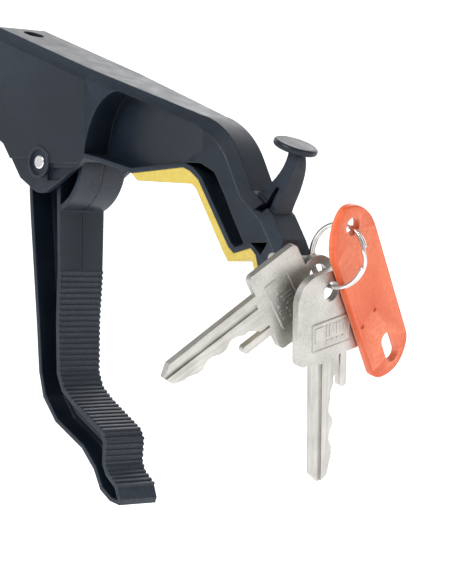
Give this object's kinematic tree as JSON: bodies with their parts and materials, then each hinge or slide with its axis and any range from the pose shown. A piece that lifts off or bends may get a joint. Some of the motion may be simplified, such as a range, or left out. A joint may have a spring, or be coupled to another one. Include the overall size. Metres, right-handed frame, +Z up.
{
  "type": "pick-up tool head with a key bunch",
  "caption": "Gripping head of a reaching pick-up tool, with a rod-driven jaw and a bunch of keys held on its tip magnet",
  "frame": {"origin": "centre of the tube socket's mouth", "axes": "+X from the tube socket towards the fixed jaw's tip, +Y across the head, +Z up; the tube's axis drops 19 degrees below +X"},
  "size_m": [0.1412, 0.0756, 0.1393],
  "materials": {
    "dark_plastic": "moulded, semi-matte",
    "yellow_liner": "matte soft liner",
    "magnet": "plated, satin",
    "acetal": "natural acetal",
    "steel": "zinc plated",
    "bright_steel": "turned, bright",
    "spring_steel": "drawn wire",
    "key_nickel": "nickel plated, blasted bow and brushed blade",
    "ring_steel": "polished",
    "tag_orange": "moulded, satin",
    "slip_paper": "plain card",
    "tag_window": "clear plastic"
  },
  "bodies": {
    "head": {"head_moulding": "dark_plastic", "grip_liner": "yellow_liner", "tip_magnet": "magnet", "rod_guide": "acetal", "tube_screw": "steel", "pivot_pin": "bright_steel", "pin_clip": "steel", "return_spring": "spring_steel"},
    "jaw": {"moving_jaw": "dark_plastic", "pivot_bushes": "acetal", "lever_pin": "steel", "lever_clips": "steel"},
    "rod": {"rod_yoke": "steel", "pull_rod": "steel", "lock_nut": "steel"},
    "key_a": {"key_1": "key_nickel"},
    "ring": {"split_ring": "ring_steel"},
    "key_b": {"key_2": "key_nickel"},
    "tag": {"tag_body": "tag_orange", "tag_slip": "slip_paper", "tag_window": "tag_window"}
  },
  "joints": [
    {"name": "jaw_pivot", "type": "hinge", "parent": "head", "child": "jaw", "pos_m": [0.02731, 0, -0.02511], "axis": [0, -1, 0], "range_deg": [0, 41], "stiffness_Nm_per_rad": 0.03, "springref_deg": -20.05, "deforming": ["return_spring"]},
    {"name": "rod_slide", "type": "slide", "parent": "head", "child": "rod", "axis": [-0.9455, 0, 0.3256], "range_m": [0, 0.0115]},
    {"name": "key_release", "type": "slide", "parent": "head", "child": "key_a", "axis": [0.9501, -0.168, -0.263], "range_m": [0, 0.03]},
    {"name": "ring_swing", "type": "hinge", "parent": "key_a", "child": "ring", "pos_m": [0.12129, 0.00498, -0.05762], "axis": [0.5248, 0.0738, -0.848], "range_deg": [-3, 3]},
    {"name": "key_2_swing", "type": "hinge", "parent": "ring", "child": "key_b", "pos_m": [0.12539, 0.00556, -0.06106], "axis": [0.96, 0, -0.28], "range_deg": [-6, 12]},
    {"name": "tag_swing", "type": "hinge", "parent": "ring", "child": "tag", "pos_m": [0.13277, 0.0066, -0.04561], "axis": [0.96, 0, -0.28], "range_deg": [0, 12]}
  ],
  "couplings": [
    {"joint": "rod_slide", "follows": "jaw_pivot", "m_per_rad": 0.015143}
  ]
}
